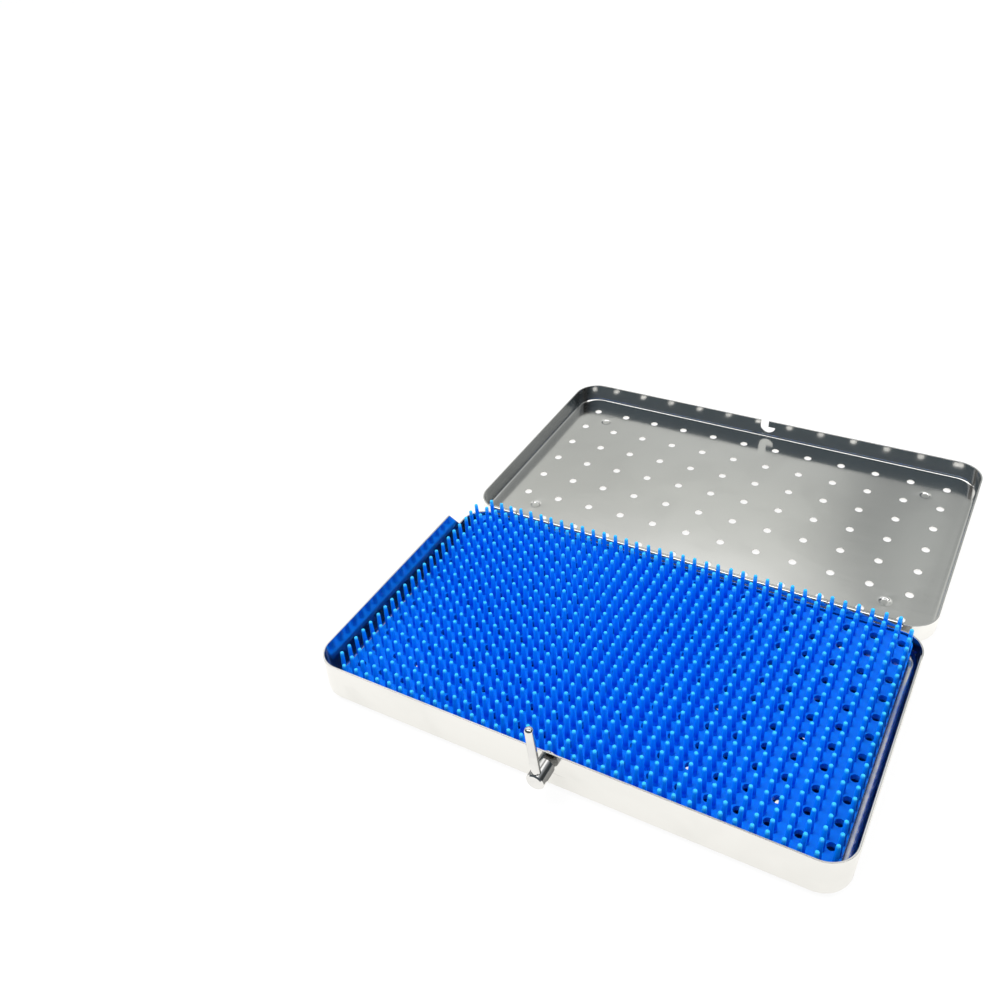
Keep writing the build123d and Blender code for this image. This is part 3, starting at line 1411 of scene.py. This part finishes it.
@dataclass
class LidTray(PressedPan):
    """The upper pan, lying open: its far wall has the hooked slot that the latch closes."""

    notches: tuple[Stretch, ...] = ()
    slot_z: float = 0.0086
    slot_radius: float = 0.0046
    tongue_x: float = 0.0002
    tongue_z: float = 0.0081
    slot_steps: int = 18

    @classmethod
    def from_frame(cls, hinge: Hinge) -> LidTray:
        """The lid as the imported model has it.

        Args:
            hinge: the hinge.

        Returns:
            The sub-assembly.
        """
        low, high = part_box("lid_tray")
        width = 0.1514
        return cls(
            name="lid_tray_sheet",
            node="lid_tray",
            body=Body.LID,
            outer_length=high.x - low.x,
            outer_width=width,
            outer_corner=0.0144,
            centre_y=high.y - width / 2,
            rim_z=0.01215,
            hinge_side=-1.0,
            hinge=hinge,
            knuckles=hinge.lid_knuckles(),
            notches=hinge.lid_notches(),
            crown=0.0020,
            sag=0.0004,
            floor_margin=0.0020,
            lift_reach=0.014,
        )

    def breaks_x(self) -> set[float]:
        """Where the long sides need a place.

        Returns:
            Places along the hinge.
        """
        found = super().breaks_x()
        for notch in self.notches:
            found |= {notch.start, notch.end}
        return found

    def rim_at(self, place: Place, between: Vector) -> float:
        """Height of the rim, which is cut low where the base's knuckles turn.

        Args:
            place: not used.
            between: the middle of the stretch that is being made.

        Returns:
            The height.
        """
        hinge_wall = (between.y - self.centre_y) * self.hinge_side > self.outer_width / 2 - self.sheet
        if hinge_wall and any(n.start < between.x < n.end for n in self.notches):
            return self.hinge.low_rim_z
        return self.rim_z

    def levels_below_opening(self) -> int:
        """How many levels of the wall are whole below the slot."""
        return self.bend_steps

    def add_opening(self, work: BMesh) -> None:
        """Adds the wall round the hooked slot.

        Args:
            work: the mesh.
        """
        low, middle, high, reach = self.floor_z + self.bend, self.hinge.low_rim_z, self.rim_z, self.patch
        end = math.asin((self.tongue_z - self.slot_z) / self.slot_radius) + math.tau
        points = [(-reach, low), (0.0, low), (reach, low), (reach, middle), (reach, high)]
        points += [(self.tongue_x, high), (self.tongue_x, self.tongue_z)]
        for step in range(self.slot_steps + 1):
            angle = end + (math.pi - end) * step / self.slot_steps
            x, z = self.slot_radius * math.cos(angle), self.slot_z + self.slot_radius * math.sin(angle)
            points.append((x, z))
        points += [(-self.slot_radius, high), (-reach, high), (-reach, middle)]
        work.faces.new([work.verts.new((x, self.latch_wall_y, z)) for x, z in points])


# ---------------------------------------------------------------------------------------------
# The finger mat


@dataclass(frozen=True)
class Curl:
    """How one end of the mat rises from the tray's floor."""

    side: float
    start: float
    reach: float
    rise: float


@dataclass
class FingerMat:
    """A silicone sheet on short pegs, with drain holes and a close field of soft fingers."""

    half_x: float
    half_y: float
    tip_z: float
    floor_z: float
    corner: float = 0.0064
    centre_x: float = 0.0009
    centre_y: float = -0.0001
    left_extra: float = 0.0012
    thickness: float = 0.0030
    border_inset: float = 0.0006
    edge_width: float = 0.0004
    rim_steps: int = 8
    rim_step: float = 0.010
    rim_reach_x: float = 0.120
    rim_reach_y: float = 0.075
    pitch_x: float = 0.006306
    pitch_y: float = 0.006129
    columns: int = 38
    rows: int = 24
    drain_diameter: float = 0.0042
    drain_collar: float = 0.0054
    finger_height: float = 0.0142
    finger_root: float = 0.0029
    finger_lean: float = 0.022
    finger_seed: int = 7
    finger_sunk: float = 0.0002
    finger_profile: Profile = (
        (0.0, 1.0), (0.04, 0.92), (0.50, 0.79), (0.955, 0.65), (0.985, 0.56), (1.0, 0.36), (0.988, 0.10),
    )
    latch_half_x: float = 0.0052
    latch_y: float = -0.068
    latch_push: float = 0.0016
    rear: Curl = Curl(1.0, 0.010, 0.0604, 0.0021)
    front: Curl = Curl(-1.0, -0.045, 0.0256, 0.0004)
    peg_pitch: float = 0.050
    peg_columns: int = 5
    peg_rows: int = 3
    peg_diameter: float = 0.0045
    peg_sides: int = 20
    peg_profile: Profile = ((0.0, 1.0), (0.1, 1.0), (1.0, 0.8))

    @classmethod
    def from_frame(cls) -> FingerMat:
        """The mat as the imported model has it.

        Returns:
            The sub-assembly.
        """
        low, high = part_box("finger_mat")
        return cls((high.x - low.x) / 2, (high.y - low.y) / 2, high.z, low.z)

    @property
    def top_z(self) -> float:
        """Height of the sheet's upper face."""
        return self.tip_z - self.finger_height

    def curl(self, work: BMesh) -> None:
        """Curls the mat's rear and front up a little, with whatever stands on it square to it.

        Args:
            work: a mesh in the flat mat's place.
        """
        for vertex in work.verts:
            for end in (self.rear, self.front):
                share = end.side * (vertex.co.y - end.start) / end.reach
                if share > 0.0:
                    over = vertex.co.z - self.top_z
                    vertex.co.y -= end.side * over * 2 * end.rise * share / end.reach
                    vertex.co.z += end.rise * share * share

    def round_corners(self, border: list[BMVert], middle: Vector, limit_x: float, limit_y: float) -> None:
        """Moves the corners of the cells' border inside the sheet's rounded corners.

        Args:
            border: the vertices along the border.
            middle: the middle of the cells.
            limit_x: how far the border is from the middle along X.
            limit_y: how far it is along Y.
        """
        straight_x, straight_y = limit_x - self.corner, limit_y - self.corner
        for vertex in border:
            off = vertex.co - middle
            past_x, past_y = abs(off.x) - straight_x, abs(off.y) - straight_y
            far = math.hypot(past_x, past_y)
            if past_x > 0 and past_y > 0 and far > self.corner:
                vertex.co.x = middle.x + math.copysign(straight_x + past_x * self.corner / far, off.x)
                vertex.co.y = middle.y + math.copysign(straight_y + past_y * self.corner / far, off.y)

    def build_sheet(self, tree: NodeTree, finish: Material) -> Object:
        """Makes the sheet, with a drain hole between four fingers at every second pitch.

        Args:
            tree: the punched sheet's tree.
            finish: the silicone.

        Returns:
            The piece.
        """
        drains = Perforation(
            2 * self.pitch_x, 2 * self.pitch_y, self.drain_diameter, self.drain_collar,
            self.columns // 2, self.rows // 2,
        )
        work = bmesh.new()
        middle = Vector((self.centre_x, self.centre_y, self.top_z))
        cells = drains.add_cells(work, middle, tree, finish)
        limit_x, limit_y = self.half_x - self.border_inset, self.half_y - self.border_inset
        border = drains.border(cells, middle, limit_x, limit_y)
        self.round_corners(border, middle, limit_x, limit_y)
        half_x, middle_x = self.half_x + self.left_extra / 2, self.centre_x - self.left_extra / 2
        outline = Outline(half_x, self.half_y, self.corner, middle_x, self.centre_y, self.rim_steps)
        places = outline.places(
            steps_between(-self.rim_reach_x, self.rim_reach_x, self.rim_step),
            steps_between(-self.rim_reach_y, self.rim_reach_y, self.rim_step),
        )
        rim = [work.verts.new(p.point(0.0, self.top_z)) for p in places]
        ring_faces(work, border, rim, turn_round(self.centre_x, self.centre_y, self.half_x / self.half_y))
        bmesh.ops.recalc_face_normals(work, faces=work.faces)
        if sum(f.normal.z for f in work.faces) < 0:
            bmesh.ops.reverse_faces(work, faces=work.faces)
        self.curl(work)
        piece = finished_object("mat_sheet", work, finish)
        thicken(piece, self.thickness, -1.0, self.edge_width)
        return piece

    def build_fingers(self, finish: Material) -> Object:
        """Makes the field of fingers, which give way a little where the latch ends.

        Args:
            finish: the silicone.

        Returns:
            The piece.
        """
        values = {
            "Pitch X": self.pitch_x,
            "Pitch Y": self.pitch_y,
            "Columns": self.columns,
            "Rows": self.rows,
            "Height": self.finger_height + self.finger_sunk,
            "Width": self.finger_root,
            "Lean": self.finger_lean,
            "Seed": self.finger_seed,
            "Finish": finish,
        }
        mesh = grown_mesh("mat_fingers", finger_tree("Finger_field", self.finger_profile), values)
        work = bmesh.new()
        join_mesh(work, mesh, Vector((self.centre_x, self.centre_y, self.top_z - self.finger_sunk)))
        for vertex in work.verts:
            if abs(vertex.co.x) < self.latch_half_x and vertex.co.y < self.latch_y:
                share = (vertex.co.z - self.top_z) / self.finger_height
                vertex.co.y += self.latch_push * max(0.0, share)
        self.curl(work)
        return finished_object("mat_fingers", work, finish)

    def build_pegs(self, finish: Material) -> Object:
        """Makes the short pegs that the mat stands on.

        Args:
            finish: the silicone.

        Returns:
            The piece.
        """
        values = {
            "Pitch X": self.peg_pitch,
            "Pitch Y": self.peg_pitch,
            "Columns": self.peg_columns,
            "Rows": self.peg_rows,
            "Height": self.top_z - self.thickness - self.floor_z,
            "Width": self.peg_diameter,
            "Sides": self.peg_sides,
            "Finish": finish,
        }
        mesh = grown_mesh("mat_pegs", finger_tree("Peg_field", self.peg_profile), values)
        work = bmesh.new()
        join_mesh(work, mesh, Vector((0.0, 0.0, self.floor_z)))
        return finished_object("mat_pegs", work, finish)

    def build(self, tree: NodeTree, finish: Material) -> list[Object]:
        """Makes the whole mat.

        Args:
            tree: the punched sheet's tree.
            finish: the silicone.

        Returns:
            The pieces, riding on the base.
        """
        pieces = [self.build_sheet(tree, finish), self.build_fingers(finish), self.build_pegs(finish)]
        for piece in pieces:
            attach(piece, Body.BASE.value)
            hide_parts("finger_mat")
        return pieces


# ---------------------------------------------------------------------------------------------
# Floor, light and camera


@dataclass(frozen=True)
class StudioFloor:
    """A plain floor: white where it is seen, and pale grey where it lights the object."""

    half: float = 6.0
    lighting: Colour = (0.80, 0.80, 0.80)
    shaded: Colour = (0.14, 0.14, 0.14)
    glow: float = 0.885
    glow_in_metal: Colour = (1.05, 1.03, 0.985)
    glow_mirrored_again: float = 0.22
    glow_behind: float = 1.08
    behind_start: float = 0.06
    behind_end: float = 0.08

    def material(self) -> Material:
        """Builds the floor's material, which glows to the camera and in the metal alone.

        Returns:
            The material.
        """
        material, graph, shader, place = new_material("Studio_floor")
        path = graph.node("ShaderNodeLightPath").outputs
        mirrored = path["Is Glossy Ray"]
        seen = graph.math("MAXIMUM", path["Is Camera Ray"], mirrored)
        seen = graph.math("MAXIMUM", seen, path["Is Transmission Ray"])
        first = graph.math("LESS_THAN", path["Glossy Depth"], 1.5)
        glow = graph.math("MULTIPLY_ADD", first, 1.0 - self.glow_mirrored_again, self.glow_mirrored_again)
        glow = graph.math("MULTIPLY", glow, self.glow)
        behind = graph.span(graph.split(place)["Y"], self.behind_start, self.behind_end)
        behind = graph.math("MULTIPLY_ADD", behind, self.glow_behind - 1.0, 1.0)
        glow = graph.math("MULTIPLY", glow, graph.mix(mirrored, WHITE, behind))
        looks = {
            "Roughness": 1.0,
            "Specular IOR Level": 0.0,
            "Base Color": graph.mix(seen, self.lighting, self.shaded),
            "Emission Color": graph.mix(mirrored, WHITE, self.glow_in_metal),
            "Emission Strength": graph.math("MULTIPLY", seen, glow),
        }
        graph.feed(shader, looks)
        return material

    def build(self) -> None:
        """Makes the floor, which keeps the object's shadow."""
        reach = self.half
        corners = [(-reach, -reach, 0.0), (reach, -reach, 0.0), (reach, reach, 0.0), (-reach, reach, 0.0)]
        mesh = bpy.data.meshes.new("studio_floor")
        mesh.from_pydata(corners, [], [(0, 1, 2, 3)])
        mesh.materials.append(self.material())
        floor = bpy.data.objects.new("studio_floor", mesh)
        bpy.context.scene.collection.objects.link(floor)


@dataclass(frozen=True)
class Room:
    """Surroundings: white to the camera, and a soft room with a high light in the metal.

    The stops of rise go from the latch's side, over the top, to the hinge's side. Those of the
    others go round from the latch, by the left, behind the hinge and by the right.
    """

    rise: Stops = (
        (0.0, (0.34, 0.35, 0.37)),
        (0.08, (0.09, 0.105, 0.12)),
        (0.20, (0.085, 0.105, 0.12)),
        (0.415, (0.08, 0.10, 0.12)),
        (0.427, (0.85, 0.86, 0.87)),
        (0.437, (0.85, 0.86, 0.87)),
        (0.45, 0.14),
        (0.61, (0.12, 0.115, 0.11)),
        (0.65, (1.3, 1.3, 1.28)),
        (0.72, (1.3, 1.3, 1.28)),
        (0.74, (1.0, 1.0, 0.98)),
        (0.755, (0.71, 0.72, 0.69)),
        (0.79, (0.63, 0.64, 0.61)),
        (0.82, (0.56, 0.57, 0.55)),
        (1.0, (0.54, 0.56, 0.57)),
    )
    walls: Stops = (
        (0.0, 1.0),
        (0.25, 0.80),
        (0.42, 0.83),
        (0.45, 1.0),
        (0.475, 0.98),
        (0.483, (0.50, 0.51, 0.52)),
        (0.490, (0.52, 0.53, 0.54)),
        (0.496, (0.75, 0.76, 0.77)),
        (0.52, (0.62, 0.63, 0.65)),
        (0.60, (0.33, 0.34, 0.36)),
        (0.64, (0.08, 0.085, 0.09)),
        (0.78, (0.06, 0.065, 0.07)),
        (0.86, (0.60, 0.61, 0.62)),
        (1.0, 1.0),
    )
    ceiling: Stops = (
        (0.0, 0.40), (0.30, 0.22), (0.47, 0.22), (0.51, 1.0), (0.62, 1.0), (0.66, 0.20), (1.0, 0.40),
    )
    ceiling_start: float = 0.77
    ceiling_end: float = 0.82
    high_light: Stops = ((0.44, 0.0), (0.455, 2.6), (0.54, 2.6), (0.555, 0.0))
    on_matt: Colour = (0.72, 0.72, 0.72)

    def build(self) -> None:
        """Makes the surroundings."""
        world = bpy.data.worlds.new("Studio")
        world.use_nodes = True
        bpy.context.scene.world = world
        graph = Graph(world.node_tree)
        way = graph.split(graph.node("ShaderNodeTexCoord").outputs["Generated"])
        over = graph.math("ARCTAN2", way["Z"], graph.math("MULTIPLY", way["Y"], -1.0))
        over = graph.math("DIVIDE", over, math.pi)
        round_about = graph.math("ARCTAN2", way["X"], way["Y"])
        round_about = graph.math("MULTIPLY_ADD", round_about, 1.0 / math.tau, 0.5)
        high = graph.span(way["Z"], self.ceiling_start, self.ceiling_end)
        level = graph.mix(high, graph.ramp(round_about, self.walls), graph.ramp(round_about, self.ceiling))
        light = graph.mix(high, BLACK, graph.ramp(over, self.high_light))
        room = graph.vector_math("MULTIPLY", graph.ramp(over, self.rise), level)
        room = graph.vector_math("ADD", room, light)
        path = graph.node("ShaderNodeLightPath").outputs
        soft = graph.mix(path["Is Diffuse Ray"], room, self.on_matt)
        seen = graph.mix(path["Is Camera Ray"], soft, WHITE)
        graph.feed(world.node_tree.nodes["Background"], {"Color": seen, "Strength": 1.0})


@dataclass(frozen=True)
class Lamp:
    """A square soft lamp that faces the object and doesn't show in the metal."""

    name: str
    place: Triple
    size: float
    watts: float
    target: Triple = (0.0, 0.05, 0.0)

    def build(self) -> None:
        """Hangs the lamp."""
        light = bpy.data.lights.new(self.name, "AREA")
        light.size = self.size
        light.energy = self.watts
        lamp = bpy.data.objects.new(self.name, light)
        lamp.location = self.place
        lamp.rotation_euler = (Vector(self.target) - Vector(self.place)).to_track_quat("-Z", "Y").to_euler()
        lamp.visible_glossy = False
        bpy.context.scene.collection.objects.link(lamp)


@dataclass(frozen=True)
class Camera:
    """The camera, with its turn in degrees and its lens in millimetres."""

    place: Triple = (0.133493, -0.309324, 0.352279)
    turn: Triple = (52.0737, 4.0906, 29.8783)
    lens: float = 35.6705
    shift: tuple[float, float] = (0.01148, 0.02998)
    near: float = 0.01

    def build(self) -> None:
        """Sets the camera up."""
        eye = bpy.data.cameras.new("Camera")
        eye.lens = self.lens
        eye.shift_x, eye.shift_y = self.shift
        eye.clip_start = self.near
        camera = bpy.data.objects.new("Camera", eye)
        camera.location = self.place
        camera.rotation_euler = [math.radians(a) for a in self.turn]
        bpy.context.scene.collection.objects.link(camera)
        bpy.context.scene.camera = camera


@dataclass(frozen=True)
class Studio:
    """A plain white floor, a soft room, two lamps and the camera."""

    floor: StudioFloor = StudioFloor()
    room: Room = Room()
    key: Lamp = Lamp("Key", (-0.5, -0.15, 1.5), 1.2, 18.0)
    fill: Lamp = Lamp("Fill", (1.1, 0.9, 1.2), 1.0, 9.0)
    camera: Camera = Camera()

    def build(self) -> None:
        """Makes the whole studio."""
        for part in (self.floor, self.room, self.key, self.fill, self.camera):
            part.build()
        bpy.context.scene.view_settings.view_transform = "Standard"


# ---------------------------------------------------------------------------------------------
# Assembly


BRIGHT_NODES = (
    "hinge_pin", "latch_bush", "latch_spindle", "latch_lever", "latch_spring_washer", "latch_washer",
)


def dress_nodes(nodes: Mapping[str, Object], names: tuple[str, ...], finish: Material) -> None:
    """Gives carried-over nodes their finish.

    Args:
        nodes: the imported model's nodes.
        names: which of them.
        finish: the material.
    """
    for name in names:
        materials = nodes[name].data.materials
        materials.clear()
        materials.append(finish)
        log.info("dressed %s with %s", name, finish.name)


def main() -> None:
    """Builds and dresses the cassette."""
    logging.basicConfig(level=logging.INFO, format="%(name)s: %(message)s")
    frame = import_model()
    effects = Effects.build()
    satin = SatinSheet().material(effects)
    bright = BrightBar().material(effects)
    mat = FingerMat.from_frame()
    silicone = Silicone(mat.tip_z, mat.top_z).material(effects)
    punched = punched_sheet_tree()
    axis = next(joint["pos_m"] for joint in frame["joints"] if joint["name"] == "lid_hinge")
    hinge = Hinge(axis[1], axis[2])
    Studio().build()
    pieces = [pan.build(punched, satin) for pan in (BaseTray.from_frame(hinge), LidTray.from_frame(hinge))]
    pieces += mat.build(punched, silicone)
    for piece in pieces:
        log.info("%s: %d faces before its modifiers", piece.name, len(piece.data.polygons))
    dress_nodes(frame["nodes"], BRIGHT_NODES, bright)


if __name__ == "__main__":
    main()
